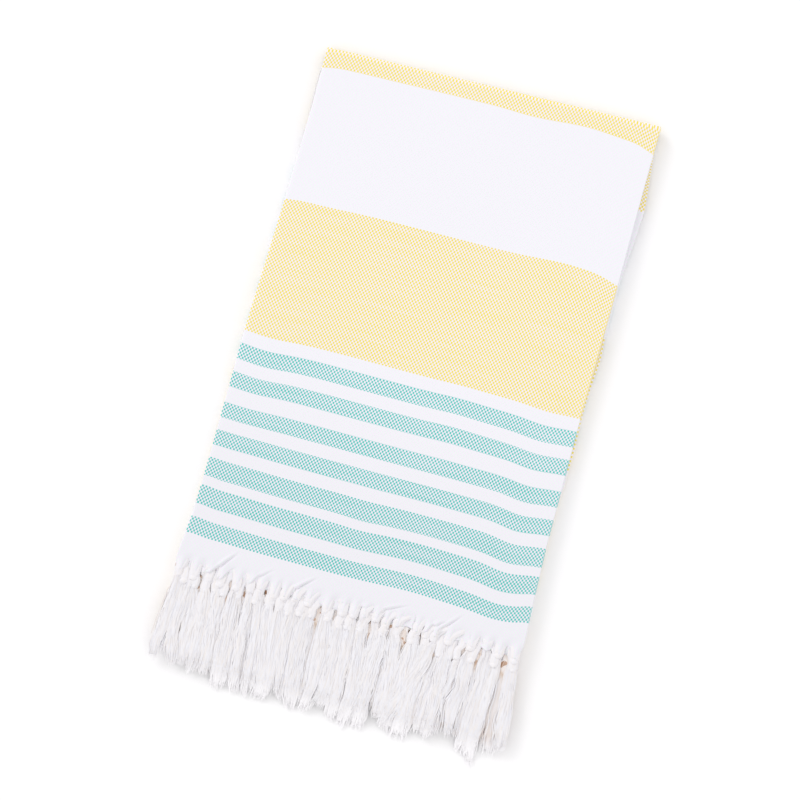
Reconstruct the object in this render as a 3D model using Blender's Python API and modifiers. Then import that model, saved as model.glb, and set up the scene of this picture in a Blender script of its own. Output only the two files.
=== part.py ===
"""Flat-woven beach towel with a knotted fringe, folded in thirds both ways and lying flat.

Metres, +Z up. The front fringe points to -Y and the fold at the head to +Y. The origin is the
middle of the footprint, on the surface that the towel lies on.
"""
import math
from collections import namedtuple

import bmesh
import bpy

# The towel before it is folded: the cloth without its fringes
CLOTH_WIDTH = 1.0
CLOTH_LENGTH = 1.6
CLOTH_THICKNESS = 0.0011

# Folded across the width it is a pack of three layers, and along the length three passes of the pack
FOLDS = 3
LAYER_WIDTH = CLOTH_WIDTH / FOLDS
LAYER_GAP = 0.00035
PASS_GAP = 0.0004
PACK = FOLDS * CLOTH_THICKNESS + (FOLDS - 1) * LAYER_GAP
PASS_RISE = PACK + PASS_GAP

# Where the passes begin and turn
HEM_Y = -0.1910
HEAD_Y = 0.3145
FOOT_Y = -0.2830
HEAD_RADIUS = 0.0032
FOOT_RADIUS = PASS_RISE / 2
HEAD_SAG_RUN = 0.0100
HEAD_STEPS = 7
FOOT_STEPS = 6
SAG_STEPS = 2
BEND_STEPS = 4

# How far the fold at the head slants, and the height at which the slant starts
HEAD_SLANT = 0.027
SLANT_START = 0.05

# The stack is a little loftier in soft waves over its length and width
LOFT = 0.06
LOFT_WAVE_X = 0.21
LOFT_WAVE_Y = 0.33

# Inner columns of a layer of cloth, which follow the waves
CLOTH_COLUMNS = (-0.06, 0.06)

# Left fold and right edge of the front, from the head down to the tips of the fringe that lies under it
Outline = namedtuple("Outline", "y left right")
OUTLINE = (
    Outline(0.319, -0.1580, 0.1675),
    Outline(0.257, -0.1585, 0.1670),
    Outline(0.162, -0.1605, 0.1670),
    Outline(0.032, -0.1655, 0.1655),
    Outline(-0.093, -0.1670, 0.1655),
    Outline(-0.153, -0.1685, 0.1670),
    Outline(-0.191, -0.1715, 0.1685),
    Outline(-0.319, -0.1725, 0.1705),
)

# Each pass of the pack lies a little to one side of the one above
Pass = namedtuple("Pass", "level shift")
FRONT = Pass(2, 0.0)
MIDDLE = Pass(1, 0.0012)
BACK = Pass(0, -0.0015)

# Fringe: knotted tassels, a row of them under each layer of a hem
TASSELS = 26
TASSEL_SHARE = 0.76
HEADING = 0.012
HEM_GAP = 0.00035
REST_GAP = 0.0006
FRONT_TASSEL_THICKNESS = 0.0018
BACK_TASSEL_LENGTH = 0.082
DROOP_ANGLE = math.radians(65)
DROOP_STEPS = 2
FLOOR_GAP = 0.0002

# The front tassels fan out below the hem: how much wider their row is for each metre of length
FAN = 0.52

# How far the front tassels reach, from left to right
Tip = namedtuple("Tip", "x y")
TIPS = (
    Tip(-0.170, -0.2965),
    Tip(-0.130, -0.2985),
    Tip(-0.095, -0.3095),
    Tip(-0.060, -0.3010),
    Tip(-0.025, -0.3060),
    Tip(0.020, -0.3110),
    Tip(0.065, -0.3100),
    Tip(0.115, -0.2985),
    Tip(0.140, -0.3190),
    Tip(0.153, -0.3190),
    Tip(0.175, -0.2950),
)

Station = namedtuple("Station", "y z shift")


def evenly(start, end, count):
    """Evenly spaced values from start to end, both included."""
    return [start + (end - start) * i / (count - 1) for i in range(count)]


def smooth_step(value):
    """A soft rise from 0 to 1."""
    value = min(max(value, 0.0), 1.0)
    return value * value * (3 - 2 * value)


def read_table(rows, key, column, value):
    """Read a column between the two rows of a table whose key lies around the value."""
    rows = sorted(rows, key=lambda row: getattr(row, key))
    value = min(max(value, getattr(rows[0], key)), getattr(rows[-1], key))
    for low, high in zip(rows, rows[1:]):
        if value <= getattr(high, key):
            share = (value - getattr(low, key)) / (getattr(high, key) - getattr(low, key))
            return getattr(low, column) + share * (getattr(high, column) - getattr(low, column))
    return getattr(rows[-1], column)


def pass_height(level):
    """Height of the middle of a pass above the surface."""
    return PACK / 2 + level * PASS_RISE


def settle(x, y, z, shift, fan):
    """Bring a point of the straight stack to its place in the uneven one."""
    x *= 1 + fan * max(HEM_Y - y, 0.0)
    left = read_table(OUTLINE, "y", "left", y)
    right = read_table(OUTLINE, "y", "right", y)
    x = left + (right - left) * (x / LAYER_WIDTH + 0.5) + shift
    slant = HEAD_SLANT * smooth_step((y - SLANT_START) / (HEAD_Y - SLANT_START))
    wave = math.sin(2 * math.pi * x / LOFT_WAVE_X) * math.cos(2 * math.pi * y / LOFT_WAVE_Y)
    loft = 1 + LOFT * (1 + wave) / 2
    base = CLOTH_THICKNESS / 2
    return x, y + slant * x, base + (z - base) * loft


def turn(y, z, radius, start, end, steps, first, last):
    """Stations round a fold, between two passes."""
    shifts = evenly(first.shift, last.shift, steps + 1)
    angles = evenly(start, end, steps + 1)
    return [Station(y + radius * math.cos(a), z + radius * math.sin(a), s) for a, s in zip(angles, shifts)]


def rows_between(start, end):
    """Heights of the outline's rows that lie between two heights, in order from start to end."""
    low, high = min(start, end), max(start, end)
    rows = sorted(row.y for row in OUTLINE if low + PACK < row.y < high - PACK)
    return rows if end > start else rows[::-1]


def path_length(stations):
    """Length along a row of stations."""
    return sum(math.dist(a[:2], b[:2]) for a, b in zip(stations, stations[1:]))


def cloth_path():
    """Middle line of the pack: up the front, over the head, down the middle, round the foot and up the back."""
    front_z, middle_z, back_z = (pass_height(level) for level in (FRONT.level, MIDDLE.level, BACK.level))
    head_y = HEAD_Y - PACK / 2 - HEAD_RADIUS
    foot_y = FOOT_Y + PACK / 2 + FOOT_RADIUS
    sag = 2 * HEAD_RADIUS - PASS_RISE
    path = [Station(y, front_z, FRONT.shift) for y in [HEM_Y] + rows_between(HEM_Y, head_y)]
    path += turn(head_y, front_z - HEAD_RADIUS, HEAD_RADIUS, math.pi / 2, -math.pi / 2, HEAD_STEPS, FRONT, MIDDLE)
    for share in evenly(0, 1, SAG_STEPS + 1)[1:]:
        path.append(Station(head_y - share * HEAD_SAG_RUN, middle_z - sag * smooth_step(1 - share), MIDDLE.shift))
    path += [Station(y, middle_z, MIDDLE.shift) for y in rows_between(path[-1].y, foot_y)]
    path += turn(foot_y, back_z + FOOT_RADIUS, FOOT_RADIUS, math.pi / 2, 1.5 * math.pi, FOOT_STEPS, MIDDLE, BACK)
    end_y = foot_y + CLOTH_LENGTH - path_length(path)
    path += [Station(y, back_z, BACK.shift) for y in rows_between(foot_y, end_y) + [end_y]]
    return path


def front_fringe_path(pack):
    """From the hem over the middle pass, down round the fold at the foot and out along the surface."""
    foot_y = FOOT_Y + PACK / 2 + FOOT_RADIUS
    foot_z = PASS_RISE / 2 + PACK / 2
    radius = (FOOT_RADIUS + PACK / 2 + REST_GAP + pack / 2) / math.cos(DROOP_ANGLE / DROOP_STEPS / 2)
    over_z = foot_z + radius
    floor_z = pack / 2 + FLOOR_GAP
    start_y = HEM_Y - HEM_GAP
    path = [Station(y, over_z, FRONT.shift) for y in (start_y, start_y - HEADING)]
    path += turn(foot_y, foot_z, radius, math.pi / 2, math.pi / 2 + DROOP_ANGLE, DROOP_STEPS, FRONT, FRONT)
    floor_y = path[-1].y - (path[-1].z - floor_z) / math.tan(DROOP_ANGLE / 2)
    return path + [Station(y, floor_z, FRONT.shift) for y in (floor_y, OUTLINE[-1].y)]


def back_fringe_path(start_y):
    """Straight on from the hidden hem, flat on the surface."""
    start_y += HEM_GAP
    heights = (start_y, start_y + HEADING, start_y + BACK_TASSEL_LENGTH)
    return [Station(y, pass_height(BACK.level), BACK.shift) for y in heights]


def facing(start, end):
    """Direction that the top of the pack faces between two stations."""
    length = math.dist(start[:2], end[:2])
    return (start.z - end.z) / length, (end.y - start.y) / length


def mitre(stations, index):
    """Way from the middle line to the top of the pack, long enough to keep layers parallel at a corner."""
    last = len(stations) - 1
    before = facing(stations[max(index, 1) - 1], stations[max(index, 1)])
    after = facing(stations[min(index, last - 1)], stations[min(index, last - 1) + 1])
    reach = 1 + before[0] * after[0] + before[1] * after[1]
    return (before[0] + after[0]) / reach, (before[1] + after[1]) / reach


def section(thickness, columns):
    """Three layers back and forth across the pack, as places across it and heights in it."""
    rise = thickness + LAYER_GAP
    half = LAYER_WIDTH / 2
    radius = rise / 2
    angles = evenly(-math.pi / 2, math.pi / 2, BEND_STEPS + 1)
    points = [(-half, -rise)] + [(x, -rise) for x in columns]
    points += [(half - radius + radius * math.cos(a), -radius + radius * math.sin(a)) for a in angles]
    points += [(x, 0.0) for x in reversed(columns)]
    points += [(-half + radius - radius * math.cos(a), radius + radius * math.sin(a)) for a in angles]
    points += [(x, rise) for x in columns] + [(half, rise)]
    return points


def tassel_columns(thickness):
    """Left and right edge of each tassel of a layer."""
    room = LAYER_WIDTH - 2 * (thickness + LAYER_GAP)
    pitch = room / TASSELS
    centres = [(i + 0.5) * pitch - room / 2 for i in range(TASSELS)]
    return [centre + side * TASSEL_SHARE * pitch / 2 for centre in centres for side in (-1, 1)]


def cotton_material(name, color):
    """Matt cotton of one colour."""
    material = bpy.data.materials.new(name)
    material.use_nodes = True
    shader = material.node_tree.nodes["Principled BSDF"]
    shader.inputs["Base Color"].default_value = (*color, 1.0)
    shader.inputs["Roughness"].default_value = 0.9
    shader.inputs["Metallic"].default_value = 0.0
    return material


def folded_sheet(name, points, stations, thickness, material, fan=0.0):
    """Lay a grid along the path, a column for each point of the section, and give it its thickness."""
    columns, rows = len(points), len(stations)
    bm = bmesh.new()
    bmesh.ops.create_grid(bm, x_segments=columns - 1, y_segments=rows - 1, size=1.0)
    for vert in bm.verts:
        row, column = divmod(vert.index, columns)
        across, height = points[column]
        along = stations[row]
        out_y, out_z = mitre(stations, row)
        vert.co = settle(across, along.y + height * out_y, along.z + height * out_z, along.shift, fan)
    mesh = bpy.data.meshes.new(name)
    bm.to_mesh(mesh)
    bm.free()
    mesh.materials.append(material)
    sheet = bpy.data.objects.new(name, mesh)
    thicken = sheet.modifiers.new("thickness", "SOLIDIFY")
    thicken.thickness = thickness
    thicken.offset = 0.0
    thicken.use_even_offset = True
    return sheet


def is_tassel(column):
    """Whether the cell after a column of the section is a tassel: every other cell of a flat layer."""
    place = column % (2 * TASSELS + 1 + BEND_STEPS)
    return place % 2 == 1 and place < 2 * TASSELS


def fringe_comb(name, stations, thickness, material, fan=0.0, tips=None):
    """A folded sheet with open gaps between its tassels below the heading, each tassel cut to its length."""
    points = section(thickness, tassel_columns(thickness))
    fringe = folded_sheet(name, points, stations, thickness, material, fan)
    columns, last_row = len(points), len(stations) - 1
    bm = bmesh.new()
    bm.from_mesh(fringe.data)
    for vert in bm.verts:
        if tips and vert.index // columns == last_row:
            vert.co.y = read_table(tips, "x", "y", vert.co.x)
    gaps = []
    for face in bm.faces:
        row, column = divmod(min(vert.index for vert in face.verts), columns)
        if row > 0 and not is_tassel(column):
            gaps.append(face)
    bmesh.ops.delete(bm, geom=gaps, context="FACES")
    bm.to_mesh(fringe.data)
    bm.free()
    return fringe


def build_towel():
    """The cloth and the fringe at each of its ends."""
    for old in list(bpy.data.objects):
        bpy.data.objects.remove(old, do_unlink=True)
    collection = bpy.data.collections.new("beach_towel")
    bpy.context.scene.collection.children.link(collection)

    path = cloth_path()
    woven = cotton_material("woven_cotton", (0.93, 0.82, 0.48))
    yarn = cotton_material("cotton_yarn", (0.90, 0.89, 0.90))
    front_pack = FOLDS * FRONT_TASSEL_THICKNESS + (FOLDS - 1) * LAYER_GAP
    pieces = (
        folded_sheet("cloth", section(CLOTH_THICKNESS, CLOTH_COLUMNS), path, CLOTH_THICKNESS, woven),
        fringe_comb("fringe_front", front_fringe_path(front_pack), FRONT_TASSEL_THICKNESS, yarn, FAN, TIPS),
        fringe_comb("fringe_back", back_fringe_path(path[-1].y), CLOTH_THICKNESS, yarn),
    )
    for piece in pieces:
        collection.objects.link(piece)


build_towel()
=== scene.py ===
from functools import partial
from math import copysign, cos, dist, exp, pi, radians, sin, sqrt
from random import Random

import bmesh
import bpy
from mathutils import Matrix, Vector


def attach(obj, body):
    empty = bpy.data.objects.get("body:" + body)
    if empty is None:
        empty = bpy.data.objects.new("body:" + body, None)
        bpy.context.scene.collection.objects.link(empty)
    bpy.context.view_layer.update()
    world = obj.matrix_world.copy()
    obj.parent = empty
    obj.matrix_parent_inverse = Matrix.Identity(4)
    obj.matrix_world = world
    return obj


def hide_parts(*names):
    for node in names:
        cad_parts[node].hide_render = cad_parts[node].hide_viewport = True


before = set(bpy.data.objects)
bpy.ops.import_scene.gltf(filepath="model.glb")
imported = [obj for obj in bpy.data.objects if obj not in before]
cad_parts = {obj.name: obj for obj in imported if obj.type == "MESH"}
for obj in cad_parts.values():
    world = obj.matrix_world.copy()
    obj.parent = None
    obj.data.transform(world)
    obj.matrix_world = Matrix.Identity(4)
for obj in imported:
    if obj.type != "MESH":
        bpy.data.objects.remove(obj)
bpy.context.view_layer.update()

# Flat-woven cotton beach towel with knotted fringes, folded in thirds both ways, lying on a studio floor.
# Metres, +Z up, but millimetres in the tables. The front fringe points to -Y, the fold at the head to +Y.


def smooth(value):
    value = min(max(value, 0.0), 1.0)
    return value * value * (3 - 2 * value)


def mix(start, end, share):
    return start + (end - start) * share


def evenly(start, end, steps):
    return [mix(start, end, i / steps) for i in range(steps + 1)]


def readTable(rows, key, column, value):  # straight between the rows on either side of the value
    rows = sorted(rows, key=lambda row: row[key])
    if value <= rows[0][key]:
        return rows[0][column]
    for low, high in zip(rows, rows[1:]):
        if value <= high[key]:
            return mix(low[column], high[column], (value - low[key]) / (high[key] - low[key]))
    return rows[-1][column]


def sidesAt(rows, y):
    return readTable(rows, "y", "left", y), readTable(rows, "y", "right", y)


def named(columns, *rows, plain=""):
    # a table's rows with named values, its lengths turned from millimetres to metres
    names = columns.split()
    return [{name: value if name in plain.split() else round(value / 1000, 7)
             for name, value in zip(names, row)} for row in rows]


def newObject(name, data):
    thing = bpy.data.objects.new(name, data)
    bpy.context.scene.collection.objects.link(thing)
    return thing


def newPiece(name, bm, material):
    mesh = bpy.data.meshes.new(name)
    bm.to_mesh(mesh)
    bm.free()
    mesh.materials.append(material)
    return newObject(name, mesh)


# how the towel is folded, which repeats the folding of its solid
towel = {
    "width": 1.0, "length": 1.6, "thickness": 0.0011, "folds": 3,
    "layerGap": 0.00035, "passGap": 0.0004,
    "hemY": -0.191, "headY": 0.3145, "footY": -0.283,
    "headRadius": 0.0032, "headSagRun": 0.010,
    "headSlant": 0.027,  # how much higher the head is at its right than at its left, for each metre
    "slantStart": 0.05,
    "standFrom": 0.75,  # share of the width past which the middle pass stands out at its right
    "loft": 0.06, "loftWaveX": 0.21, "loftWaveY": 0.33,  # soft waves in the height of the stack
}
layerWidth = towel["width"] / towel["folds"]
layerRise = towel["thickness"] + towel["layerGap"]
packHeight = towel["folds"] * towel["thickness"] + (towel["folds"] - 1) * towel["layerGap"]
passRise = packHeight + towel["passGap"]
footRadius = passRise / 2
headTurnY = towel["headY"] - packHeight / 2 - towel["headRadius"]
footTurnY = towel["footY"] + packHeight / 2 + footRadius

# left fold and right edge of the front, from the head down to the tips of the fringe
outline = named(
    "y left right",
    (319, -158, 167.5), (257, -158, 166.5), (162, -160, 166.4), (32, -164.8, 164.9),
    (-93, -166, 165.2), (-153, -167.6, 167), (-191, -171.5, 168.5), (-197, -171.5, 168),
    (-208, -169, 164.5), (-319, -169, 164.5),
)
# the passes of the stack, from the top, and how far each is shifted to the right
frontPass = {"level": 2, "shift": 0.0}
middlePass = {"level": 1, "shift": 0.0}
backPass = {"level": 0, "shift": 0.0002}
# how far the right side of the middle pass stands out past the front
standOut = named(
    "y out",
    (300, 0), (286, 0.4), (270, 2.2), (252, 4.2), (235, 6), (200, 4.2),
    (165, 1.2), (115, 1.4), (88, 3.4), (62, 1.4), (35, 1), (0, 2),
    (-40, 1.2), (-55, -0.5), (-280, -1.5),
)


def passHeight(stackPass):
    return packHeight / 2 + stackPass["level"] * passRise


def station(y, z, stackPass):
    return {"y": y, "z": z, **stackPass}


def turnStations(y, z, radius, start, end, steps, first, last):  # round a fold between two passes
    stations = []
    for share in evenly(0, 1, steps):
        angle = mix(start, end, share)
        between = {key: mix(first[key], last[key], share) for key in first}
        stations.append(station(y + radius * cos(angle), z + radius * sin(angle), between))
    return stations


def settledPlace(x, y, z, where):
    # brings a point of the straight stack to its place in the uneven one
    share = x / layerWidth + 0.5
    x = mix(*sidesAt(outline, y), share) + where["shift"]
    out = readTable(standOut, "y", "out", y) * (1 - abs(where["level"] - 1))
    x += out * smooth((share - towel["standFrom"]) / (1 - towel["standFrom"]))
    slanted = smooth((y - towel["slantStart"]) / (towel["headY"] - towel["slantStart"]))
    swell = sin(2 * pi * x / towel["loftWaveX"]) * cos(2 * pi * y / towel["loftWaveY"])
    loft = 1 + towel["loft"] * (1 + swell) / 2
    base = towel["thickness"] / 2
    return Vector((x, y + towel["headSlant"] * slanted * x, base + (z - base) * loft))


def facing(start, end):
    length = dist((start["y"], start["z"]), (end["y"], end["z"]))
    return (start["z"] - end["z"]) / length, (end["y"] - start["y"]) / length


def mitre(stations, index):  # way from the middle line to the top of the pack, longer at a corner
    last = len(stations) - 1
    before = facing(stations[max(index, 1) - 1], stations[max(index, 1)])
    after = facing(stations[min(index, last - 1)], stations[min(index, last - 1) + 1])
    reach = 1 + before[0] * after[0] + before[1] * after[1]
    return (before[0] + after[0]) / reach, (before[1] + after[1]) / reach


def lengthsAlong(points, start=0.0):  # how far along the line through them each point is
    lengths = [start]
    for a, b in zip(points, points[1:]):
        lengths.append(lengths[-1] + dist(a, b))
    return lengths


def sideView(path):
    return [(place["y"], place["z"]) for place in path]


def linearColor(code):
    channels = [int(code[i:i + 2], 16) / 255 for i in (1, 3, 5)]
    return [c / 12.92 if c <= 0.04045 else ((c + 0.055) / 1.055) ** 2.4 for c in channels] + [1.0]


def newMaterial(name, settings):
    material = bpy.data.materials.new(name)
    material.use_nodes = True
    shader = material.node_tree.nodes["Principled BSDF"]
    for socket, value in settings.items():
        shader.inputs[socket].default_value = value
    return material, material.node_tree, shader


def fromTo(limits):
    return {"From Min": limits[0], "From Max": limits[1]}


def addNode(tree, kind, links=None, **settings):
    # links go from an input's name or place to the node, socket, hex colour or other value it takes
    node = tree.nodes.new("ShaderNode" + kind)
    for name, value in settings.items():
        setattr(node, name, value)
    for place, source in (links or {}).items():
        if isinstance(source, bpy.types.Node):
            source = source.outputs[0]
        if isinstance(source, bpy.types.NodeSocket):
            tree.links.new(source, node.inputs[place])
        else:
            node.inputs[place].default_value = linearColor(source) if isinstance(source, str) else source
    return node


weave = {
    "floatWidth": 0.0017, "floatLength": 0.00205,  # half a repeat across and along: one coloured dot
    "dotEdge": (-0.30, 0.38),  # where the dots fade into the white warp
    "slubs": 12, "uneven": 0.5,  # streaks of uneven thread: how many to a metre of weft, how strong
    "relief": 0.00012, "bump": 0.5, "dotBump": 0.5, "fibreBump": 0.8, "fibreSize": 0.0011,
    "white": "#E9EEEE", "lattice": "#EFE8F3", "aqua": "#52C3B8", "yellow": "#ECD954",
    "selvedge": (0.4987, 0.4994),  # where the cloth turns dense at its sides, from its middle
    "selvedgeCover": 0.55,
    "hemShadeReach": 0.38, "hemShade": 0.947,  # painted shade: darker towards its hems, from this share of the way, standing in for light that falls off away from the head
}
stripeWidth = 16
bands = named(  # from each hem to the middle of the towel
    "start end color",
    *[(middle - stripeWidth / 2, middle + stripeWidth / 2, "aqua")
      for middle in (26, 54.6, 82.9, 112.2, 141.7, 170.6, 199.3)],
    (221.4, 355.4, "yellow"), (484.5, 611, "yellow"), (732.5, 800, "yellow"),
    plain="color",
)


def wovenCotton():
    # Plain-woven cotton, soft and washed: matt, with coloured weft dots in a white lattice of warp, and
    # painted shade towards its hems
    material, tree, shader = newMaterial("wovenCotton", {
        "Roughness": 0.9, "Specular IOR Level": 0.25, "Sheen Weight": 0.12, "Sheen Roughness": 0.5,
    })
    add = partial(addNode, tree)
    place = add("UVMap", uv_map="cloth")
    split = add("SeparateXYZ", {0: place})
    waves, fromMiddle = [], []
    for i, (dot, size) in enumerate(((weave["floatWidth"], towel["width"]),
                                     (weave["floatLength"], towel["length"]))):
        turn = add("Math", {0: split.outputs[i], 1: pi / dot}, operation="MULTIPLY")
        waves.append(add("Math", {0: turn}, operation="SINE"))
        past = add("Math", {0: split.outputs[i], 1: size / 2}, operation="SUBTRACT")
        fromMiddle.append(add("Math", {0: past}, operation="ABSOLUTE"))
    floats = add("Math", {0: waves[0], 1: waves[1]}, operation="MULTIPLY")
    # long faint streaks of uneven thread along the weft
    stretch = add("Mapping", {"Vector": place, "Scale": (weave["slubs"], 1 / weave["floatLength"], 1)})
    slubs = add("TexNoise", {"Vector": stretch, "Scale": 1.0, "Detail": 2.0})
    uneven = add("Math", {0: slubs, 1: weave["uneven"], 2: -weave["uneven"] / 2}, operation="MULTIPLY_ADD")
    dots = add("MapRange", {
        "Value": add("Math", {0: floats, 1: uneven}), **fromTo(weave["dotEdge"]),
    }, interpolation_type="SMOOTHSTEP")
    # dense, even threads along the two sides
    dense = add("MapRange", {"Value": fromMiddle[0], **fromTo(weave["selvedge"])},
                interpolation_type="SMOOTHSTEP")
    covered = add("Mix", {0: dense, 2: dots, 3: weave["selvedgeCover"]})
    # the bands, from how far a place is from the nearest hem
    half = towel["length"] / 2
    fromHem = add("Math", {0: fromMiddle[1], 1: -1 / half, 2: 1.0}, operation="MULTIPLY_ADD")
    ramp = add("ValToRGB", {0: fromHem})
    ramp.color_ramp.interpolation = "CONSTANT"
    stops = ramp.color_ramp.elements
    stops.remove(stops[1])
    stops[0].color = linearColor(weave["white"])
    for band in bands:
        stops.new(band["start"] / half).color = linearColor(weave[band["color"]])
        if band["end"] < half:
            stops.new(band["end"] / half).color = linearColor(weave["white"])
    color = add("Mix", {"Factor": covered, 6: weave["lattice"], 7: ramp}, data_type="RGBA")
    # painted shade: the colour is darkened towards the hems, where the light falls off away from the head
    hemShade = add("MapRange", {
        "Value": fromHem, "From Max": weave["hemShadeReach"], "To Min": weave["hemShade"],
    }, interpolation_type="SMOOTHSTEP")
    hemShaded = add("Mix", {"Factor": 1.0, 6: color.outputs[2], 7: hemShade}, data_type="RGBA", blend_type="MULTIPLY")
    tree.links.new(hemShaded.outputs[2], shader.inputs["Base Color"])
    fibre = add("TexNoise", {"Vector": place, "Scale": 1 / weave["fibreSize"], "Detail": 3.0})
    swell = add("Math", {0: floats, 1: weave["dotBump"]}, operation="MULTIPLY")
    height = add("Math", {0: fibre, 1: weave["fibreBump"], 2: swell}, operation="MULTIPLY_ADD")
    bump = add("Bump", {"Height": height, "Strength": weave["bump"], "Distance": weave["relief"]})
    tree.links.new(bump.outputs[0], shader.inputs["Normal"])
    return material


yarn = {
    "knotted": "#EAE8ED",
    "loose": "#EDECF1", "opens": (0.208, 0.226),  # painted light: where the threads open out past the knots they are painted a little lighter, which makes up for the shade among them
    "shade": "#EEE7E2",  # in streaks along the threads
    "streakWidth": 0.0009, "streakLength": 0.018, "streakEdge": (0.40, 0.75), "streakShare": 0.8,
    "deep": "#E0CCBB", "deepShare": 0.9,  # painted warm shade on the threads that lie low, tinted as by light off the yellow cloth below
    "deepFrom": 0.0036, "deepTo": 0.0007,  # height above the middle pass where it starts, and is full
    "deepFade": 0.02,  # it fades this far before the tassels start to droop
    "hollow": "#A9681F",  # painted shade, dark orange-brown as of the yellow cloth in shadow, in a few of the hollows between the knots; the rest are painted pale, which lightens their shade
    "hollowSpacing": 0.006, "hollowEdge": (0.58, 0.62), "hollowShare": 0.85,
    "hollowDepth": (1.0, 1.5), "hollowEnd": -0.230, "hollowFade": 0.010,
    "lightPaint": "#FFFDFF", "pales": (0.284, 0.302), "paleShare": 0.85,  # painted light towards the tips, which makes up for the shade among their threads
    "relief": 0.0001, "fluff": 0.3, "fluffSize": 0.0007,
}


def cottonYarn():
    # Soft cotton yarn, untwisted at its ends: matt and fluffy, with faint streaks along the threads; its
    # colour also holds painted light on the tails and tips, and painted shade low down and in the hollows
    material, tree, shader = newMaterial("cottonYarn", {
        "Roughness": 0.9, "Specular IOR Level": 0.2, "Sheen Weight": 0.3, "Sheen Roughness": 0.5,
    })
    add = partial(addNode, tree)
    place = add("TexCoord").outputs["Object"]
    fine, long = 1 / yarn["streakWidth"], 1 / yarn["streakLength"]
    stretch = add("Mapping", {"Vector": place, "Scale": (fine, long, fine)})
    streaks = add("TexNoise", {"Vector": stretch, "Scale": 1.0, "Detail": 2.0})
    patches = add("MapRange", {
        "Value": streaks, **fromTo(yarn["streakEdge"]), "To Max": yarn["streakShare"],
    })
    split = add("SeparateXYZ", {0: place})
    fromMiddle = add("Math", {0: split.outputs[1]}, operation="ABSOLUTE")
    # painted light: the open tails a little lighter than the knots
    opened = add("MapRange", {"Value": fromMiddle, **fromTo(yarn["opens"])}, interpolation_type="SMOOTHSTEP")
    # painted light: paler towards the tips
    paintedTipLight = add("MapRange", {
        "Value": fromMiddle, **fromTo(yarn["pales"]), "To Max": yarn["paleShare"],
    }, interpolation_type="SMOOTHSTEP")
    # painted warm shade on the lower threads, following the depth attribute
    depth = add("Attribute", attribute_name="depth").outputs["Fac"]
    paintedWarmShade = add("Math", {0: depth, 1: yarn["deepShare"]}, operation="MULTIPLY")
    # painted shade in a few hollows between the knots, painted light in the rest
    hollows = add("MapRange", {"Value": depth, **fromTo(yarn["hollowDepth"])})
    scatter = add("TexNoise", {"Vector": place, "Scale": 1 / yarn["hollowSpacing"], "Detail": 0.0})
    few = add("MapRange", {"Value": scatter, **fromTo(yarn["hollowEdge"]), "To Max": yarn["hollowShare"]})
    paintedHollowTone = add("Mix", {"Factor": few, 6: yarn["lightPaint"], 7: yarn["hollow"]}, data_type="RGBA")
    color = yarn["knotted"]
    for share, tone in ((opened, yarn["loose"]), (patches, yarn["shade"]), (paintedWarmShade, yarn["deep"]),
                        (hollows, paintedHollowTone.outputs[2]), (paintedTipLight, yarn["lightPaint"])):
        color = add("Mix", {"Factor": share, 6: color, 7: tone}, data_type="RGBA").outputs[2]
    tree.links.new(color, shader.inputs["Base Color"])
    fluff = add("TexNoise", {"Vector": place, "Scale": 1 / yarn["fluffSize"], "Detail": 2.0})
    bump = add("Bump", {"Height": fluff, "Strength": yarn["fluff"], "Distance": yarn["relief"]})
    tree.links.new(bump.outputs[0], shader.inputs["Normal"])
    return material


grid = {  # rows and columns of the cloth
    "columnPitch": 0.0034,  # columns of the layer on top
    "hiddenColumns": 9,  # columns of each layer below it
    "edgeColumn": 0.0004,  # width of the last column beside an open edge, which keeps the edge crisp
    "bendSteps": 5, "headSteps": 12, "sagSteps": 4, "footSteps": 10,
    "hemReach": 0.012,  # the last rows run on into the gathers, up to the knots
    "hemRowPitch": 0.0034, "hemRows": 15,
    "hemCuts": 3,  # how much finer the front's hem is than the rest
    "rowPitch": 0.0052, "middleRowPitch": 0.010, "backRowPitch": 0.026,
    "headEase": 0.025, "easeRun": 0.07,  # how much further along the cloth lies below the head
    "driftRun": 0.02,  # the weft is straight at the hem, and its drift grows from there
}
# soft places where the weft drifts from straight, and by how much
weftDrift = named(
    "x y reachX reachY by",
    (134, -110, 20, 110, -4), (130, 10, 25, 30, -1.2), (50, -160, 40, 50, 2.2),
    (50, 0, 25, 40, 1.2), (118, 190, 38, 110, 3), (140, 100, 30, 120, -1.2),
    (140, 300, 30, 50, -3.3), (172, 250, 18, 120, -11), (50, 295, 30, 40, -2),
    (-168, 235, 18, 110, -5.5), (-130, 120, 38, 100, -2), (-140, 0, 24, 50, -2.6),
    (-10, -120, 20, 25, -1.4), (-165, -140, 12, 60, 2.4), (-140, -130, 35, 90, 1.1),
    (166, -160, 10, 30, 2.8),
)
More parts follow.
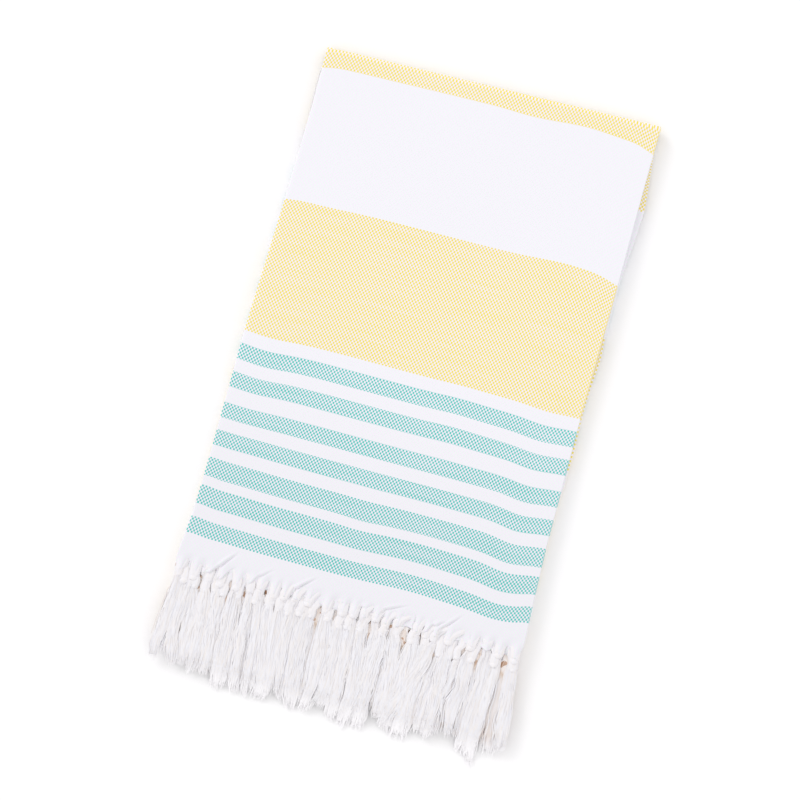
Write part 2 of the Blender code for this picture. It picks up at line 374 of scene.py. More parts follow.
# pull creases that run from the cloth down to a knot: soft troughs with a ridge beside them
pullCreases = named(
    "depth width route",
    (1.4, 1.1, ((-112.5, -174), (-121.5, -184), (-132.5, -197), (-140.5, -202), (-143.5, -214))),
    (0.8, 1, ((-160, -186), (-151.5, -203))),
    (1.1, 1, ((-112, -188), (-118.5, -195), (-123.5, -202), (-134.5, -210))),
    (0.9, 1, ((-75, -181), (-90.5, -193), (-98.5, -201), (-102.5, -208))),
    (1.2, 1, ((-34, -178), (-43.5, -186), (-54.5, -195), (-56.5, -206))),
    (0.7, 0.9, ((-32, -193), (-37.5, -198), (-44.5, -202))),
    (0.7, 0.9, ((-2, -192), (-13.5, -200), (-12.5, -206))),
    (0.7, 0.9, ((25, -190), (18.5, -193), (8.5, -197))),
    (0.8, 1, ((58, -181), (50.5, -185), (33.5, -192), (30, -197))),
    (0.9, 0.9, ((51.5, -191), (42.5, -199), (41, -206))),
    (1, 1, ((109, -176), (99.5, -186), (94.5, -191), (88.5, -197), (87.5, -206))),
    (1.1, 1, ((96, -186), (88.5, -191), (79.5, -196), (72.5, -206))),
    (0.7, 0.9, ((106, -194), (112.5, -206))),
    (0.9, 0.9, ((146, -190), (149.5, -194), (156, -204))),
    plain="route",
)
for crease in pullCreases:
    crease["route"] = [Vector([round(value / 1000, 7) for value in place]) for place in crease["route"]]
hem = {  # creases and gathers of the front hem
    "lift": 0.0014, "reach": 0.034,
    "crease": 1.8, "fadeIn": 0.024,  # strength of the creases, and how far along its route one is full
    "creaseEnd": 6, "ridgeAt": 1.9,  # beside the crease's route, in its widths
    "ridge": 0.5,  # height of the ridge beside a crease, as a share of its depth
    "gatherFrom": 0.004, "gatherRun": 0.012,  # from before the hem
    "gatherPull": 0.35,  # how far the cloth goes to the nearest knot, as a share of the way
    "gatherTop": 0.0006, "gatherDip": 0.0024,  # height at a knot, and depth between two
    "gatherReach": 0.0026,  # how much further the cloth reaches at a knot
    "knotGap": 0.010,  # knots nearer than this gather the cloth as if they were this far apart
}


def towelPath():
    # middle line of the pack: up the front, over the head, down the middle and up the back
    frontZ, middleZ, backZ = (passHeight(p) for p in (frontPass, middlePass, backPass))
    start = towel["hemY"] - grid["hemReach"]
    hemEnd = start + grid["hemRows"] * grid["hemRowPitch"]
    rows = evenly(start, hemEnd, grid["hemRows"])
    rows += evenly(hemEnd, headTurnY, round((headTurnY - hemEnd) / grid["rowPitch"]))[1:]
    path = [station(y, frontZ, frontPass) for y in rows[:-1]]
    path += turnStations(headTurnY, frontZ - towel["headRadius"], towel["headRadius"],
                         pi / 2, -pi / 2, grid["headSteps"], frontPass, middlePass)
    sag = 2 * towel["headRadius"] - passRise
    for share in evenly(0, 1, grid["sagSteps"])[1:]:
        z = middleZ - sag * smooth(1 - share)
        path.append(station(headTurnY - share * towel["headSagRun"], z, middlePass))
    sagEnd = path[-1]["y"]
    steps = round((sagEnd - footTurnY) / grid["middleRowPitch"])
    path += [station(y, middleZ, middlePass) for y in evenly(sagEnd, footTurnY, steps)[1:-1]]
    path += turnStations(footTurnY, backZ + footRadius, footRadius, pi / 2, 1.5 * pi,
                         grid["footSteps"], middlePass, backPass)
    endY = footTurnY + towel["length"] + grid["hemReach"] - lengthsAlong(sideView(path))[-1]
    steps = round((endY - footTurnY) / grid["backRowPitch"])
    path += [station(y, backZ, backPass) for y in evenly(footTurnY, endY, steps)[1:]]
    return path


def packSection():
    # three layers back and forth: place across, height in the pack and length of cloth up to there
    half = layerWidth / 2
    radius = layerRise / 2
    angles = evenly(-pi / 2, pi / 2, grid["bendSteps"])
    hidden = evenly(-half, half - radius, grid["hiddenColumns"])[:-1]
    hidden.insert(1, grid["edgeColumn"] - half)
    points = [(x, -layerRise) for x in hidden]
    points += [(half - radius + radius * cos(a), -radius + radius * sin(a)) for a in angles]
    points += [(x, 0.0) for x in evenly(half - radius, radius - half, grid["hiddenColumns"])[1:-1]]
    points += [(-half + radius - radius * cos(a), radius + radius * sin(a)) for a in angles]
    steps = round((layerWidth - radius) / grid["columnPitch"])
    points += [(x, layerRise) for x in evenly(radius - half, half - grid["edgeColumn"], steps)[1:]]
    points.append((half, layerRise))
    lengths = lengthsAlong(points)
    section = [{"x": x, "height": z, "cloth": length * towel["width"] / lengths[-1]}
               for (x, z), length in zip(points, lengths)]
    return section, len(points) - 2 - steps


def creaseRelief(spot, crease):
    nearest, side, walk, walked = None, 0.0, 0.0, 0.0
    for start, end in zip(crease["route"], crease["route"][1:]):
        run = end - start
        share = min(max((spot - start).dot(run) / run.length_squared, 0.0), 1.0)
        away = spot - start - share * run
        if nearest is None or away.length < nearest:
            nearest, walk = away.length, walked + share * run.length
            side = away.x * run.y - away.y * run.x
        walked += run.length
    distance = nearest / crease["width"]
    if distance > hem["creaseEnd"]:
        return 0.0
    trough = -exp(-distance * distance)
    beside = copysign(distance, side) - hem["ridgeAt"]
    ridge = hem["ridge"] * exp(-beside * beside / 2)
    return hem["crease"] * crease["depth"] * smooth(walk / hem["fadeIn"]) * (trough + ridge)


def frontLift(x, y):
    # height that the hem's creases add to the front, which never goes below the flat stack
    fromHem = y - towel["hemY"]
    near = smooth(1 - fromHem / hem["reach"])
    if near == 0:
        return 0.0
    lift = hem["lift"] * near
    spot = Vector((x, y))
    lift += sum(creaseRelief(spot, crease) for crease in pullCreases)
    return max(lift, 0.0)


def gathered(x, y):
    # how the last of the cloth is drawn in to the nearest knot of the layer on top
    share = smooth((towel["hemY"] + hem["gatherFrom"] - y) / hem["gatherRun"])
    if share == 0:
        return Vector()
    near, other = sorted((tassel["x"] for tassel in topTassels), key=lambda knot: abs(knot - x))[:2]
    between = smooth(2 * abs(x - near) / max(abs(other - near), hem["knotGap"]))
    return share * Vector((
        hem["gatherPull"] * (near - x) * (1 - between),
        -hem["gatherReach"] * (1 - between),
        hem["gatherTop"] - hem["gatherDip"] * between,
    ))


def driftAt(x, y):
    drift = 0.0
    for spot in weftDrift:
        offX, offY = (x - spot["x"]) / spot["reachX"], (y - spot["y"]) / spot["reachY"]
        drift += spot["by"] * exp(-offX * offX - offY * offY)
    return drift


def alongCloth(path):
    # length of cloth from the front hem to each station, eased on below the head and back again after
    lengths = lengthsAlong(sideView(path), -grid["hemReach"])
    headEnd = next(length for length, place in zip(lengths, path) if place["level"] == 1)
    footEnd = next(length for length, place in zip(lengths, path) if place["level"] == 0)
    ease, run = grid["headEase"], grid["easeRun"]
    return [length + ease * smooth((length - headEnd) / run) * (1 - smooth((length - footEnd) / run))
            for length in lengths]


def between(rows, index):
    low = min(int(index), len(rows) - 2)
    return {key: mix(rows[low][key], rows[low + 1][key], index - low) for key in rows[low]}


def makeCloth(material):
    path = towelPath()
    section, topColumn = packSection()
    for row, (place, length) in enumerate(zip(path, alongCloth(path))):
        place["outY"], place["outZ"] = mitre(path, row)
        place["cloth"] = length
    columns, rows = len(section) - 1, len(path) - 1
    bm = bmesh.new()
    bmesh.ops.create_grid(bm, x_segments=columns, y_segments=rows, size=0.5)
    for vert in bm.verts:
        vert.co = ((vert.co.x + 0.5) * columns, (vert.co.y + 0.5) * rows, 0.0)
    fine = [face for face in bm.faces
            if face.calc_center_median().x > topColumn and face.calc_center_median().y < grid["hemRows"]]
    edges = {edge for face in fine for edge in face.edges}
    bmesh.ops.subdivide_edges(bm, edges=list(edges), cuts=grid["hemCuts"], use_grid_fill=True)
    bm.verts.index_update()
    places = []
    for vert in bm.verts:
        across, where = between(section, vert.co.x), between(path, vert.co.y)
        y, z = where["y"] + across["height"] * where["outY"], where["z"] + across["height"] * where["outZ"]
        vert.co = settledPlace(across["x"], y, z, where)
        onFront = smooth(where["level"] - 1)
        drift = driftAt(vert.co.x, vert.co.y) * onFront * smooth(where["cloth"] / grid["driftRun"])
        vert.co.z += frontLift(vert.co.x, vert.co.y) * onFront
        vert.co += gathered(vert.co.x, vert.co.y) * onFront
        places.append((across["cloth"], where["cloth"] - drift))
    uvMap = bm.loops.layers.uv.new("cloth")
    for face in bm.faces:
        for loop in face.loops:
            loop[uvMap].uv = places[loop.vert.index]
    piece = newPiece("towelCloth", bm, material)
    piece.data.shade_smooth()
    thicken = piece.modifiers.new("thickness", "SOLIDIFY")
    thicken.thickness = towel["thickness"]
    thicken.offset = 0.0
    return piece


fringe = {
    "tassels": 26,  # in each layer
    "headingSteps": 6, "bodySteps": 15, "tailSteps": 18, "bodySides": 24,
    "ridges": 7, "ridge": 0.10,
    "bodyEnd": 0.91,  # share of the tail where the soft body ends, and the loose threads go on alone
    "bodyShare": 0.86, "bodyFill": 0.76,  # width and thickness of the body, as shares of its threads'
    "bodyTaper": 0.45, "bodyTwist": 0.8,
    "hemSpread": 0.90,  # share of its place at the hem that a tassel fills
    "hemIn": 0.001, "hemBelow": 0.0006,  # how far it starts inside the cloth's edge and below its top
    "hemHigh": 0.0008, "neckHigh": 0.0016, "bodyHigh": 0.0012, "tipHigh": 0.0009,  # half its thickness
    "hemLift": 0.5,  # share of the hem's creases that it has lost at its knot
    "neckEase": 0.0004,
    "tailStart": 0.003,  # below the middle of the knot
    "opening": 12.0,  # how soon it opens out below its knot
    "drawnIn": 0.3, "thinned": 0.6,  # how much narrower and thinner it is at its tip
    "spreads": (1.05, 1.25),
    "startLean": 0.10, "endLean": 0.14,  # radians
    "leanLift": 0.03,  # how much higher it lies for the distance that it leans
    "restWander": 0.0003,
    "dropStart": -0.2795, "dropRun": 0.032,  # where the tassels droop over the fold at the foot
    "dropPress": 0.5,
    "tipPast": 0.006, "tipWander": 0.004,  # a tip is aimed past its place, and falls short by chance
    "tipStep": 0.002,  # from one layer's tips to the next's
    "holdIn": 0.5,  # share of a tassel's half width inside which no parting pushes its edge
    "slitNear": 0.03, "slitPast": 0.003,  # how near a parting matters, and past its ends to a knot
    "clumps": 5,  # the threads of a tassel keep together in a few loose clumps
    "clumpSpread": 1.6, "clumpWander": 0.08, "clumpFan": 1.05, "clumpTipWander": 0.20,
    "clumpWave": ((0.024, 0.055), (0.0002, 0.0006)),  # lengths and sizes of its waves
    "clumpStop": 0.94,
}
knot = {
    "body": 0.0029,  # radius of the tassel in its knot
    "reach": 0.0024, "length": 0.0068, "flat": 0.52, "round": 0.6,
    "half": 0.005,  # half the width of a knot, which gives way to a parting
    "sizes": (0.92, 1.1), "least": 0.72,
    "entry": 0.45,  # where the tassel goes in, as a share of the knot's length from its middle
    "askew": 0.4,  # how far a knot may be turned, in radians
    "turn": 1.05,  # half turns of the tassel on each side of the knot's middle
    "ends": 0.72, "swell": 0.28,  # thickness at the knot's ends, and how much more in its middle
    "twist": 1.8, "steps": 18, "ridges": 7, "ridge": 0.06,
}
strand = {  # one loose thread
    "radius": 0.00043, "taper": (0.95, 0.8, 0.5),
    "wander": (0.20, 0.26), "top": (0.50, 1.15),
    "stop": 0.88, "short": 0.05,
    "past": 0.0008,  # how far it may stand out past the fringe's sides
    "crimp": (((0.014, 0.024), (0.0001, 0.0004)), ((0.024, 0.040), (0.0002, 0.0006))),
    "looseFrom": 0.55, "looseRun": 0.35,  # share of the tail where it parts from the body
    "strays": 0.05, "strayWander": 0.9,
}
hemWidth = layerWidth - layerRise
tasselPitch = hemWidth / fringe["tassels"]
# how far the tassels reach at the sides
fringeSides = named(
    "y left right",
    (-200, -170.8, 167.8), (-215, -169.8, 169), (-235, -172.5, 171.2),
    (-258, -174.8, 174), (-289, -176.6, 176),
)
# tassels of the layer on top, from the left: middle of the knot, place of the tip and half the width
topTassels = named(
    "x y tipX spread",
    (-165.5, -210, -169, 8.5), (-151.5, -210.5, -150, 5.6), (-137.5, -209.5, -134.5, 5.8),
    (-125.5, -210.5, -122.5, 5.2), (-109.5, -209.5, -104.5, 6.6), (-96.5, -208.5, -88.5, 5.2),
    (-86.5, -206.5, -75.5, 5), (-73.5, -208.5, -67.5, 6.2), (-63.5, -207.5, -57.5, 6.2),
    (-52, -205.5, -45.5, 6.2), (-39.5, -206.5, -33.5, 6.6), (-21.5, -208.5, -20.5, 7),
    (-6, -207.5, -5.5, 6.6), (4.5, -206.5, 8.5, 6), (14.5, -204.5, 15.5, 6),
    (26.5, -204.5, 20.5, 5.6), (36.5, -207.5, 36.5, 5.6), (47.5, -204.5, 55.5, 6),
    (66.5, -205.5, 68.5, 6.6), (76, -207.5, 79.5, 6), (84, -208.5, 56, 7.8),
    (98.5, -207.5, 98.5, 6.6), (120.5, -207.5, 121.5, 8.5), (135, -201.5, 132.5, 5.2),
    (147.5, -207.5, 150.5, 6.2), (163.5, -208.5, 170, 7),
)
# and of the layer below it, whose knots lie lower and between the others
middleTassels = named(
    "x y tipX spread",
    (-159.5, -215, -159.5, 6), (-149, -218, -146.5, 5.5), (-138, -219, -140, 5.5),
    (-128.5, -217, -129, 5.5), (-120.5, -219, -115.5, 5.5), (-106.5, -217, -99.5, 6),
    (-89.5, -218, -84.5, 6), (-75.5, -219, -71.5, 5.5), (-65.5, -219, -61.5, 5.5),
    (-56.5, -220, -51.5, 5.5), (-46, -218, -40.5, 6), (-34.5, -217, -28.5, 6),
    (-18.5, -216, -13.5, 6.5), (-6.5, -220, 0.5, 5.5), (1, -219, 10.5, 5.5),
    (14.5, -217, 22.5, 6), (34.5, -216, 31.5, 6), (49.5, -215, 47, 6),
    (64, -216, 62, 6), (79, -217, 75, 6), (92.5, -221, 91.5, 5.5),
    (101.5, -221, 104.5, 5.5), (109.5, -219, 98.5, 6), (123.5, -218, 126.5, 6.5),
    (145.5, -217, 140.5, 6), (164, -217, 171.5, 6),
)
lowTassels = {  # those of the lowest layer, which show only in slits
    "knotAway": (0.011, 0.017), "tipFan": 1.02, "tipWander": 0.001, "spread": 0.0102,
}
# the three layers of the hem, from the top: threads in a tassel, how high it rests, how much its knot is
# raised, half its width in the knot, the knot's size, how freely it leans and how much painted shade and
# light its hollows get
fringeLayers = named(
    "name layer phase threads rest raised neck knot lean hollow seed tassels",
    ("fringeTop", 1, 0.5, 40, 3.8, 0.2, 4.5, 1.0, 1.0, 0.0, 5, topTassels),
    ("fringeMiddle", 0, 0.0, 40, 2.9, 1.0, 4.5, 1.0, 1.0, 0.0, 17, middleTassels),
    ("fringeLow", -1, 0.25, 26, 1.8, 0.0, 6.6, 0.7, 0.3, 1.2, 29, None),
    plain="name layer phase threads knot lean hollow seed tassels",
)
# how far the front tassels reach
tips = named(
    "x y",
    (-170, -294), (-152, -293.5), (-136, -297.5), (-119.5, -298), (-111.5, -302),
    (-98.5, -312), (-83.5, -305), (-71.5, -309), (-61.5, -309), (-53.5, -295.5),
    (-43.5, -297.5), (-36.5, -308), (-24.5, -307), (-11.5, -298.5), (0.5, -300),
    (8.5, -311), (33.5, -313), (40.5, -299), (50.5, -294.5), (58.5, -300),
    (66.5, -312), (80.5, -308), (88.5, -302), (100.5, -301), (108.5, -294.5),
    (128.5, -294), (136.5, -313), (148.5, -319), (158.5, -313), (166.5, -296),
    (178, -293),
)
# slits where the tassels part: both ends, half the width, and through how many layers
partings = named(
    "x y toX toY width layers",
    (-163.5, -201, -159.5, -212, 0.8, 3), (-142.5, -204, -144, -217, 0.9, 3),
    (-143, -216, -146, -238, 0.8, 1), (-133.5, -211, -132.5, -222, 0.6, 3),
    (-125.5, -219, -123.5, -226, 0.8, 2), (-119, -202, -117.5, -210, 0.7, 3),
    (-117.5, -217, -114, -224, 1.3, 3), (-103, -206, -96.5, -219, 0.8, 3),
    (-96.5, -223, -85.5, -261, 1.5, 1), (-91.5, -206, -89, -213, 0.8, 3),
    (-82.5, -200, -79, -210, 1.6, 3), (-80.5, -212, -79.5, -223, 0.7, 3),
    (-71.5, -212, -68.5, -227, 0.6, 3), (-61.5, -214, -60.5, -223, 0.6, 2),
    (-56, -199, -58, -209, 1, 3), (-53, -210, -51.5, -217, 0.8, 3),
    (-47.5, -207, -49.5, -213, 0.6, 3), (-40.5, -210, -39.5, -224, 0.9, 3),
    (-31.5, -207, -25, -223, 0.7, 3), (-13.5, -203, -12, -211, 1.1, 3),
    (-3, -213, -1.5, -221, 0.7, 3), (4, -219, 4.5, -226, 0.7, 2),
    (19, -198, 20.5, -204, 0.8, 3), (23.5, -208, 26.5, -224, 1, 3),
    (23, -225, 25, -236, 0.9, 2), (34.5, -204, 31.5, -214, 0.6, 3),
    (42.5, -198, 40.5, -207, 0.9, 3), (39, -212, 42.5, -220, 1.1, 3),
    (42, -239, 44.5, -258, 1.5, 2), (44.5, -257, 45, -274, 0.6, 1),
    (49.5, -205, 57, -221, 0.9, 3), (57.5, -246, 58.5, -278, 2.4, 1),
    (60.5, -195, 63, -210, 0.8, 3), (73, -210, 75.5, -229, 0.7, 3),
    (79.5, -205, 82.5, -216, 0.6, 3), (85.5, -215, 90.5, -231, 0.6, 2),
    (92.5, -243, 94.5, -256, 0.5, 1), (98.5, -214, 96.5, -228, 0.7, 2),
    (101, -248, 102.5, -259, 0.6, 2), (105, -218, 107.5, -226, 0.9, 2),
    (109.5, -202, 113, -218, 1, 3), (114.5, -232, 114, -258, 1.2, 2),
    (129.5, -202, 135.5, -214, 0.9, 3), (138.5, -202, 141.5, -209, 0.8, 3),
    (135.5, -231, 132, -243, 0.7, 2), (136.5, -252, 140, -290, 3, 1),
    (155, -207, 156.5, -219, 1.1, 3), (157, -217, 160, -272, 0.9, 2),
    (-154.5, -243, -152.5, -276, 0.7, 1), (-117.5, -233, -115, -262, 1, 1),
    (-129.5, -241, -127.5, -252, 0.6, 1),
    plain="layers",
)


def ringProfile(name, sides, start):
    # closed outline that a thread is swept from
    curve = bpy.data.curves.new(name, "CURVE")
    curve.dimensions = "2D"
    curve.fill_mode = "NONE"
    spline = curve.splines.new("POLY")
    spline.points.add(sides - 1)
    for i, point in enumerate(spline.points):
        angle = start - 2 * pi * i / sides
        point.co = (cos(angle), sin(angle), 0, 1)
    spline.use_cyclic_u = True
    return newObject(name, curve)


def sweepThreads(bm, threads, profile):
    # adds closed threads to the mesh: each is a list of points with the radius at each
    curve = bpy.data.curves.new("threads", "CURVE")
    curve.dimensions = "3D"
    curve.bevel_mode = "OBJECT"
    curve.bevel_object = profile
    curve.use_fill_caps = True
    curve.twist_mode = "Z_UP"
    for points, radii in threads:
        spline = curve.splines.new("POLY")
        spline.use_smooth = False
        spline.points.add(len(points) - 1)
        spline.points.foreach_set("co", [value for point in points for value in (*point, 1.0)])
        spline.points.foreach_set("radius", radii)
    swept = newObject("threads", curve)
    bpy.context.view_layer.update()
    mesh = bpy.data.meshes.new_from_object(swept.evaluated_get(bpy.context.evaluated_depsgraph_get()))
    bm.from_mesh(mesh)
    bpy.data.objects.remove(swept)
    bpy.data.curves.remove(curve)
    bpy.data.meshes.remove(mesh)


middleTop = passHeight(middlePass) + packHeight / 2


def restHeight(y):
    # what the tassels lie on: the middle pass, then down over the fold at the foot to the floor
    return middleTop * (1 - smooth((fringe["dropStart"] - y) / fringe["dropRun"]))


def restFacing(y):
    step = 0.0005
    slope = (restHeight(y + step) - restHeight(y - step)) / (2 * step)
    return Vector((0, -slope, 1)).normalized()


def bezier(a, b, c, d, share):
    rest = 1 - share
    return a * rest ** 3 + b * 3 * rest * rest * share + c * 3 * rest * share * share + d * share ** 3


def drawWave(dice, lengths, sizes):
    return dice.uniform(*lengths), dice.uniform(0, 2 * pi), dice.uniform(*sizes)


def waveAt(walk, waves):
    return sum(size * sin(2 * pi * walk / length + start) for length, start, size in waves)


def tasselEdges(tassel, x, y, half):  # a parting beside the tassel pushes its edge in
    left, right = x - half, x + half
    for slit in tassel["slits"]:
        share = (y - slit["y"]) / (slit["toY"] - slit["y"])
        if 0 < share < 1:
            middle = mix(slit["x"], slit["toX"], share)
            opened = sin(pi * share)
            if middle > x:
                edge = max(middle - slit["width"], x + fringe["holdIn"] * half)
                right = mix(right, min(right, edge), opened)
            else:
                edge = min(middle + slit["width"], x - fringe["holdIn"] * half)
                left = mix(left, max(left, edge), opened)
    sides = sidesAt(fringeSides, y)
    left, right = max(left, sides[0]), min(right, sides[1])
    return (left + right) / 2 - x, (right - left) / 2


def planTassel(index, layer, dice):
    # one tassel: its place at the hem, its knot and its tip, seen from above
    outermost = (layerWidth - tasselPitch) / 2
    across = min(max((index + layer["phase"]) * tasselPitch - hemWidth / 2, -outermost), outermost)
    hemZ = passHeight(frontPass) + layer["layer"] * layerRise
    if layer["tassels"]:
        plan = layer["tassels"][index]
    else:
        place = settledPlace(across, towel["hemY"], hemZ, frontPass)
        plan = {"x": place.x, "y": towel["hemY"] - dice.uniform(*lowTassels["knotAway"])}
        plan["tipX"] = place.x * lowTassels["tipFan"] + dice.gauss(0, lowTassels["tipWander"])
        plan["spread"] = lowTassels["spread"]
    knotZ = settledPlace(across, plan["y"], hemZ, frontPass).z + layer["raised"]
    shorter = abs(dice.gauss(0, fringe["tipWander"])) * (1.5 - layer["layer"])
    tipY = readTable(tips, "x", "y", plan["tipX"]) - fringe["tipPast"] + shorter
    tipY += fringe["tipStep"] * (1 - layer["layer"])
    slits = [slit for slit in partings if layer["tassels"] and slit["layers"] >= 2 - layer["layer"]
             and abs(slit["x"] - plan["x"]) < fringe["slitNear"]]
    knotSize = layer["knot"] * dice.uniform(*knot["sizes"])
    for slit in slits:
        if slit["toY"] - fringe["slitPast"] < plan["y"] < slit["y"] + fringe["slitPast"]:
            away = min(abs(slit["x"] - plan["x"]), abs(slit["toX"] - plan["x"])) - slit["width"]
            knotSize = min(knotSize, max(away / knot["half"], knot["least"]))
    lifted = fringe["leanLift"] * abs(plan["tipX"] - plan["x"])
    return {
        "across": across, "hemZ": hemZ, "slits": slits, "neck": layer["neck"],
        "knot": Vector((plan["x"], plan["y"], knotZ)), "knotSize": knotSize,
        "tip": Vector((plan["tipX"], tipY, 0)),
        "startLean": layer["lean"] * dice.gauss(0, fringe["startLean"]),
        "endLean": layer["lean"] * dice.gauss(0, fringe["endLean"]),
        "spread": plan["spread"] * dice.uniform(*fringe["spreads"]),
        "rest": layer["rest"] + dice.gauss(0, fringe["restWander"]) + lifted,
        "twist": dice.uniform(0, 2 * pi), "turn": dice.choice((-1, 1)),
        "knotStart": dice.uniform(-knot["askew"], knot["askew"]),
    }


def planClump(number, dice):
    # a loose clump of the tassel's threads: its place in it, and how it wanders towards the tip
    side = fringe["clumpSpread"] * ((number + 0.5) / fringe["clumps"] - 0.5)
    side += dice.gauss(0, fringe["clumpWander"])
    return {
        "side": side,
        "sideEnd": side * fringe["clumpFan"] + dice.gauss(0, fringe["clumpTipWander"]),
        "waves": [drawWave(dice, *fringe["clumpWave"]) for _ in range(2)],
        "stop": dice.uniform(fringe["clumpStop"], 1.0),
    }


def leaning(angle):
    return Vector((sin(angle), -cos(angle), 0.0))


def tailCentre(tassel, share):
    start = Vector((tassel["knot"].x, tassel["knot"].y - fringe["tailStart"], 0))
    end = tassel["tip"]
    third = (end - start).length / 3
    leave = start + third * leaning(tassel["startLean"])
    arrive = end - third * leaning(tassel["endLean"])
    return bezier(start, leave, arrive, end, share)


def tailPlace(tassel, share):
    # how the tassel lies here: what it rests on, its ways across and up, half its width and thickness
    centre = tailCentre(tassel, share)
    ahead = (tailCentre(tassel, share + 0.02) - centre).normalized()
    opened = 1 - exp(-share * fringe["opening"])
    ending = smooth((share - 0.5) * 2)
    half = mix(tassel["neck"], tassel["spread"], opened) * (1 - fringe["drawnIn"] * ending)
    push, half = tasselEdges(tassel, centre.x, centre.y, half)
    dropped = smooth((fringe["dropStart"] - centre.y) / fringe["dropRun"])
    settle = mix(1.0, fringe["dropPress"], dropped)
    high = mix(fringe["neckHigh"], fringe["bodyHigh"], opened) * (1 - fringe["thinned"] * ending)
    return {
        "floor": Vector((centre.x + push, centre.y, restHeight(centre.y))),
        "across": Vector((-ahead.y, ahead.x, 0)), "up": restFacing(centre.y),
        "half": half, "high": high * settle, "rest": tassel["rest"] * settle, "opened": opened,
    }


def closeEnds(rings):
    shut = {"across": Vector(), "up": Vector()}
    return [{**rings[0], **shut}, *rings, {**rings[-1], **shut}]


def addBody(bm, rings, sides, ridges):
    # a closed, softly ridged body through the rings
    rings = closeEnds(rings)
    steps = len(rings) - 1
    verts = bmesh.ops.create_grid(bm, x_segments=sides, y_segments=steps, size=0.5)["verts"]
    for vert in verts:
        angle = 2 * pi * (vert.co.x + 0.5)
        ring = rings[round((vert.co.y + 0.5) * steps)]
        swell = 1 + ring["ridge"] * cos(ridges * angle + ring["twist"])
        vert.co = ring["centre"] + swell * (cos(angle) * ring["across"] + sin(angle) * ring["up"])
        if "lift" in ring:
            vert.co.z += ring["lift"] * frontLift(vert.co.x, vert.co.y)
    for face in {face for vert in verts for face in vert.link_faces}:
        face.smooth = True


def headingRings(tassel):
    # from inside the edge of the cloth, gathered in to the knot
    rings = []
    start = settledPlace(tassel["across"], towel["hemY"], tassel["hemZ"] + towel["thickness"] / 2, frontPass)
    entry = tassel["knot"] + Vector((0, knot["entry"] * knot["length"], 0))
    for share in evenly(0, 1, fringe["headingSteps"]):
        drawn = smooth(share)
        x, y = mix(start.x, entry.x, drawn), mix(start.y + fringe["hemIn"], entry.y, share)
        half = mix(fringe["hemSpread"] * tasselPitch / 2, tassel["neck"] + fringe["neckEase"], drawn)
        push, half = tasselEdges(tassel, x, y, half)
        high = mix(fringe["hemHigh"], fringe["neckHigh"], share)
        z = mix(start.z - fringe["hemBelow"] - high, entry.z, drawn)
        rings.append({
            "centre": Vector((x + push, y, z)), "across": Vector((half, 0, 0)),
            "up": Vector((0, 0, high)), "lift": 1 - fringe["hemLift"] * share,
            "ridge": fringe["ridge"], "twist": tassel["twist"],
        })
    return rings


def tailRings(tassel, places):
    rings = []
    for share in evenly(0, fringe["bodyEnd"], fringe["bodySteps"]):
        where = between(places, share * (len(places) - 1))
        thin = 1 - fringe["bodyTaper"] * smooth((share - 0.5) / (fringe["bodyEnd"] - 0.5))
        rings.append({
            "centre": where["floor"] + where["rest"] * where["up"],
            "across": fringe["bodyShare"] * thin * where["half"] * where["across"],
            "up": fringe["bodyFill"] * where["high"] * where["up"],
            "ridge": fringe["ridge"], "twist": tassel["twist"] + fringe["bodyTwist"] * share,
        })
    return rings


def threadPoints(tassel, places, clump, dice):
    # one thread of the loose tail, on the tassel's body and then through the thickness of its tip
    points = []
    side, sideEnd = (dice.gauss(0, wander) for wander in strand["wander"])
    if dice.random() < strand["strays"]:
        sideEnd += dice.gauss(0, strand["strayWander"])
    top, up = dice.uniform(*strand["top"]), dice.uniform(-1, 1)
    crimp = [drawWave(dice, *waves) for waves in strand["crimp"]]
    away = clump["sideEnd"] + sideEnd
    stop = clump["stop"] * mix(strand["stop"], 1.0, dice.random() ** 0.5)
    stop *= 1 - strand["short"] * min(away * away, 1.5)
    length = (tassel["tip"] - tassel["knot"]).length
    for share in evenly(0, stop, fringe["tailSteps"]):
        where = between(places, share * (len(places) - 1))
        offset = mix(clump["side"] + side, away, share)
        body = sqrt(max(1 - offset * offset, 0.1))
        loose = smooth((share - strand["looseFrom"]) / strand["looseRun"])
        lift = where["rest"] + body * mix(top * where["high"], up * fringe["tipHigh"], loose)
        waves = waveAt(share * length, clump["waves"]) + waveAt(share * length, crimp)
        offset = offset * where["half"] + where["opened"] * waves
        spot = where["floor"] + where["across"] * offset + where["up"] * max(lift, strand["radius"])
        left, right = sidesAt(fringeSides, spot.y)
        spot.x = min(max(spot.x, left - strand["past"]), right + strand["past"])
        points.append(spot)
    tapered = [strand["radius"] * share for share in strand["taper"]]
    return points, [strand["radius"]] * (len(points) - len(tapered)) + tapered


def knotCentre(tassel, share):
    # an overhand knot pulled tight: the tassel once round itself
    turned = mix(-knot["turn"], knot["turn"], share)
    angle = tassel["knotStart"] + tassel["turn"] * turned * pi
    bulge = sin(pi * min(max(share, 0.0), 1.0)) ** knot["round"]
    swing = tassel["knotSize"] * knot["reach"] * bulge
    along = tassel["knotSize"] * knot["length"] * (0.5 - share)
    return Vector((swing * sin(angle), along, swing * cos(angle) * knot["flat"]))


def knotRings(tassel):
    rings, step = [], 0.03
    for share in evenly(0, 1, knot["steps"]):
        ahead = (knotCentre(tassel, share + step) - knotCentre(tassel, share - step)).normalized()
        sideways = Vector((0, 0, 1)).cross(ahead).normalized()
        swollen = knot["ends"] + knot["swell"] * sin(pi * share)
        thick = knot["body"] * tassel["knotSize"] * swollen
        rings.append({
            "centre": tassel["knot"] + knotCentre(tassel, share), "across": thick * sideways,
            "up": thick * knot["flat"] * ahead.cross(sideways),
            "ridge": knot["ridge"], "twist": knot["twist"] * share,
        })
    return rings


